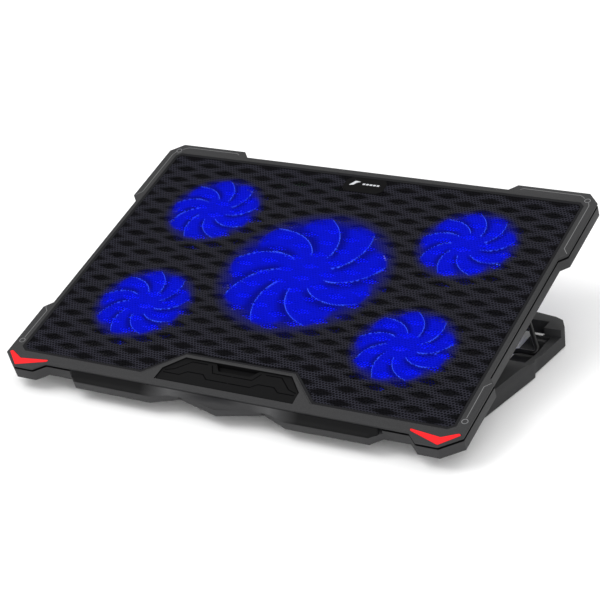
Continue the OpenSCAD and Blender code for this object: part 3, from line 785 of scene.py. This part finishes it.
# ---------------------------------------------------------------- trim on the cover
def circle(cx, cy, r, n=40):
    turns = [2 * math.pi * k / n for k in range(n)]
    return [(cx + r * math.cos(a), cy + r * math.sin(a)) for a in turns]


def rounded(pts, r, steps=5):
    """An outline with its corners rounded to about radius r."""
    out = []
    n = len(pts)
    for i in range(n):
        p = Vector(pts[i])
        a, b = Vector(pts[i - 1]), Vector(pts[(i + 1) % n])
        da, db = (a - p).normalized(), (b - p).normalized()
        half = math.acos(max(-1, min(1, da.dot(db)))) / 2
        if half > 1.5:
            out.append(tuple(p))
            continue
        cut = min(r / math.tan(half), (a - p).length * 0.45, (b - p).length * 0.45)
        s, e = p + da * cut, p + db * cut
        for k in range(steps + 1):
            t = k / steps
            q = s * (1 - t) ** 2 + p * 2 * t * (1 - t) + e * t ** 2
            out.append(tuple(q))
    return out


def band(line, w):
    """A closed outline of width w along an open line."""
    left, right = [], []
    n = len(line)
    for i, p in enumerate(line):
        a = Vector(line[max(i - 1, 0)])
        b = Vector(line[min(i + 1, n - 1)])
        p = Vector(p)
        d1 = (p - a).normalized() if i else (b - p).normalized()
        d2 = (b - p).normalized() if i < n - 1 else d1
        m = (d1 + d2).normalized()
        k = 1 / max(0.4, m.dot(d1))
        o = Vector((-m.y, m.x)) * w / 2 * k
        left.append(tuple(p + o))
        right.append(tuple(p - o))
    return left + right[::-1]


def flip(pts, side):
    return pts if side > 0 else [(-x, y) for x, y in reversed(pts)]


ACCENT = [(200.2, -132.8), (186.9, -145.9), (161.4, -137.2), (160.8, -135.2), (186.1, -138.2),
          (197.9, -131.6)]
SIDES = ((1, "right"), (-1, "left"))
for side, word in SIDES:
    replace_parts(plate(f"accent_{word}", rounded(flip(ACCENT, side), 0.9), [], -0.8, -0.005, "red", "deck",
                      bevel=0.3, slot="red_trim"), "corner_accents")
    for cy, cx, tag in ((139.5, 193.5, "rear"), (-119, 197, "front")):
        hole = list(reversed(circle(side * cx, cy, 2.05)))
        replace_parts(plate(f"ring_{tag}_{word}", circle(side * cx, cy, 2.6), [hole], -0.6, -0.002,
                          "silver", "deck", bevel=0.12, slot="silver_trim"), "corner_rings")
        plate(f"ring_well_{tag}_{word}", circle(side * cx, cy, 2.0), [], -0.6, -0.12, "cover", "deck",
              bevel=0.1, slot="cover_plastic")
    rear_line = [(190.6, 141.6), (188, 143.6), (185.5, 144.9), (136, 144.9), (133.6, 143.2)]
    side_line = [(195.3, 137.2), (196.9, 133.5), (196.9, 79), (201.2, 73.4)]
    front_line = [(196.9, -115.6), (196.4, -82), (200.6, -77.2)]
    for tag, line in (("rear", rear_line), ("side", side_line), ("front", front_line)):
        plate(f"line_{tag}_{word}", flip(band(line, 0.55), side), [], -0.2, 0.012, "pale", "deck",
              slot="cover_plastic")

# ---------------------------------------------------------------- badge
badge = plate("badge_plate", rounded(BADGE, 0.8), [], PANEL_TOP - 0.2, 0.0, "badge", "deck",
              bevel=0.16, segments=3, slot="badge_black")
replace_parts(badge, "badge")
MARK = [(-14.6, 122.2), (-10.5, 128.6), (-4.6, 128.0), (-8.4, 126.3), (-10.4, 123.2)]
plate("badge_emblem", rounded(MARK, 0.5), [], -0.1, 0.03, "mark", "deck", bevel=0.05, slot="silver_trim")
for k in range(5):
    x = -2.6 + k * 3.3
    bar = [(x, 124.4), (x + 2.4, 124.4), (x + 2.7, 126.2), (x + 0.3, 126.2)]
    plate(f"badge_bar_{k + 1}", rounded(bar, 0.2), [], -0.1, 0.03, "mark", "deck",
          bevel=0.04, slot="silver_trim")

# ---------------------------------------------------------------- stopper flap and tray
cad_copy("stopper_flap", "flap_panel", "flap", "flap", 0.35, lambda p, l: l > 1.6, None, 3)
TRAY_RIM = [(-75.9, -130.1), (-48.5, -103.2), (48.5, -103.2), (75.9, -130.1)]
plate("tray_rim", band(TRAY_RIM, 1.5), [], -1.3, 0.0, "cover", "deck", bevel=0.3, slot="cover_plastic")
FLAP_LINES = [[(22, -108.5), (17.5, -116.5), (0.5, -116.5)],
              [(26, -108.5), (40, -108.5), (51, -119), (58.5, -121.5)],
              [(58.5, -124), (44, -124), (38.5, -119.5), (24.5, -119.5), (19.5, -124), (0.5, -124)]]
for side, word in SIDES:
    for n, line in enumerate(FLAP_LINES):
        plate(f"flap_line_{n + 1}_{word}", flip(band(line, 0.8), side), [], -1.1, -0.86, "ink", "flap",
              slot="flap_plastic")


# ---------------------------------------------------------------- fans
def blades_piece(cx, cy, tip, hub, low, high, phase):
    """Swept, twisted blades with rounded tips round a domed hub."""
    bm = bmesh.new()
    k = tip / BIG_TIP
    mid = (low + high) / 2
    stations, across = 14, 7
    for b in range(BLADES):
        top, bot = [], []
        for i in range(stations + 1):
            u = i / stations
            r = hub * 0.92 + (tip - hub * 0.92) * u
            t = max(0.0, (r / k - SWEEP_START) / SWEEP_RUN)
            lead = math.radians(phase + BLADE_STEP * b) + math.radians(SWEEP) * t ** SWEEP_POWER
            wide = math.radians(44)
            rt, rb = [], []
            for j in range(across + 1):
                s = j / across
                rr = r - (TIP_FALL * k * s * s * 0.2) * max(0.0, u - 0.72) / 0.28
                a = lead + wide * s
                lift = (0.5 - s) * (1.7 if tip > 50 else 1.9) + 0.4 * math.sin(math.pi * s)
                th = 0.28 + 0.34 * math.sin(math.pi * min(max(s, 0.06), 0.94))
                x, y = cx + rr * math.cos(a), cy + rr * math.sin(a)
                rt.append(bm.verts.new((x, y, mid + lift + th / 2)))
                rb.append(bm.verts.new((x, y, mid + lift - th / 2)))
            top.append(rt)
            bot.append(rb)
        for i in range(stations):
            for j in range(across):
                bm.faces.new((top[i][j], top[i + 1][j], top[i + 1][j + 1], top[i][j + 1]))
                bm.faces.new((bot[i][j + 1], bot[i + 1][j + 1], bot[i + 1][j], bot[i][j]))
            bm.faces.new((top[i][0], bot[i][0], bot[i + 1][0], top[i + 1][0]))
            bm.faces.new((top[i + 1][across], bot[i + 1][across], bot[i][across], top[i][across]))
        for j in range(across):
            bm.faces.new((top[0][j + 1], bot[0][j + 1], bot[0][j], top[0][j]))
            bm.faces.new((top[stations][j], bot[stations][j], bot[stations][j + 1], top[stations][j + 1]))
    # hub cap: turned profile, domed on top
    prof = [(0.01, high - 0.05), (hub * 0.55, high - 0.08), (hub * 0.88, high - 0.35),
            (hub * 0.97, high - 0.9), (hub, high - 1.6), (hub, low + 0.3),
            (hub - 0.3, low), (hub - 1.2, low), (hub - 1.2, high - 1.8), (0.01, high - 1.6)]
    n = 64
    rings = [[bm.verts.new((x, y, z)) for x, y in circle(cx, cy, r, n)] for r, z in prof]
    for a, b2 in zip(rings, rings[1:]):
        for q in range(n):
            bm.faces.new((a[q], a[(q + 1) % n], b2[(q + 1) % n], b2[q]))
    bm.faces.new(rings[0])
    bm.faces.new(rings[-1])
    bmesh.ops.remove_doubles(bm, verts=bm.verts, dist=0.0005)
    return bm


for key, (cx, cy, tip, hub) in FAN_SPOTS.items():
    bm = blades_piece(cx, cy, tip + 0.5, hub, BLADE_LOW, BLADE_HIGH,
                      BIG_PHASE if key == "center" else SMALL_PHASE)
    ob = finish_piece(f"impeller_{key}", bm, "rotor", f"fan_{key}", angle=40, slot="fan_blue")
    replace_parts(ob, f"rotor_{key}")

# ---------------------------------------------------------------- rear wall pieces
cad_copy("usb_ports", "usb_sockets", "socket", "deck", 0.18, lambda p, l: l > 1.2, None, 2)
cad_copy("switch_housing", "switch_frame", "black", "deck", 0.25, lambda p, l: l > 1.2, None,
         2)
cad_copy("power_rocker", "switch_key", "black", "rocker", 0.2, lambda p, l: l > 1.2, None, 2)

# ---------------------------------------------------------------- screw slots
CASE_SCREWS = [(184, 124), (184, 8), (184, -118), (104, 122), (84, -104)]


def cross_bm(bm, cx, cy, low, high, arm=1.5, w=0.42):
    pts = [(arm, w), (w, w), (w, arm), (-w, arm), (-w, w), (-arm, w),
           (-arm, -w), (-w, -w), (-w, -arm), (w, -arm), (w, -w), (arm, -w)]
    one = plate_bm(bmesh.new(), [(cx + x, cy + y) for x, y in pts], [], low, high)
    me = bpy.data.meshes.new("tmp")
    one.to_mesh(me)
    one.free()
    bm.from_mesh(me)
    bpy.data.meshes.remove(me)


bm = bmesh.new()
for x, y in CASE_SCREWS:
    for s in (1, -1):
        cross_bm(bm, s * x, y, -12.22, -12.05)
# the screw heads' cross recesses are thin plates of painted shade
finish_piece("screw_crosses", bm, "groove", "deck", slot="steel")

# ---------------------------------------------------------------- CAD nodes that stay
KEEP = {"hinge_pins": "steel", "clip_screws": "steel", "case_screws": "steel", "fan_screws": "black",
        "flap_pins": "steel", "fan_leds": "led", "fan_leads": "lead", "control_board": "board"}
for key in FAN_SPOTS:
    KEEP[f"fan_frame_{key}"] = "fanframe"
    KEEP[f"stator_{key}"] = "copper"
    KEEP[f"shaft_{key}"] = "steel"
for node, mat in KEEP.items():
    ob = frame["nodes"][node]
    for sl in ob.material_slots:
        sl.link = "OBJECT"
        sl.material = MATS[mat]

# ---------------------------------------------------------------- studio
floor_mesh = bpy.data.meshes.new("floor")
floor_mesh.from_pydata([(-6, -6, 0), (6, -6, 0), (6, 6, 0), (-6, 6, 0)], [], [(0, 1, 2, 3)])
floor = bpy.data.objects.new("floor", floor_mesh)
bpy.context.scene.collection.objects.link(floor)
fm = Nodes("floor_pale")
fm.bsdf.inputs["Base Color"].default_value = (0.92, 0.92, 0.92, 1)
fm.bsdf.inputs["Roughness"].default_value = 0.9
floor_mesh.materials.append(fm.mat)

world = bpy.data.worlds.new("studio")
bpy.context.scene.world = world
world.use_nodes = True
bg = world.node_tree.nodes.get("Background") or world.node_tree.nodes.new("ShaderNodeBackground")
bg.inputs[0].default_value = (1, 1, 1, 1)
bg.inputs[1].default_value = 0.78


def area(name, place, aim, size, power, size_y=None):
    d = bpy.data.lights.new(name, "AREA")
    d.shape = "RECTANGLE"
    d.size = size
    d.size_y = size_y or size
    d.energy = power
    o = bpy.data.objects.new(name, d)
    o.location = place
    o.rotation_euler = (Vector(aim) - Vector(place)).to_track_quat("-Z", "Y").to_euler()
    bpy.context.scene.collection.objects.link(o)
    return o


area("key", (-0.9, -0.6, 1.6), (0, 0, 0.03), 1.2, 18)
area("fill", (1.3, -1.0, 0.9), (0, 0, 0.03), 1.0, 7)
area("back", (0.2, 1.4, 1.3), (0, 0, 0.05), 1.4, 10)
area("front", (0.5, -1.9, 0.4), (0.05, 0, 0.03), 1.4, 16)
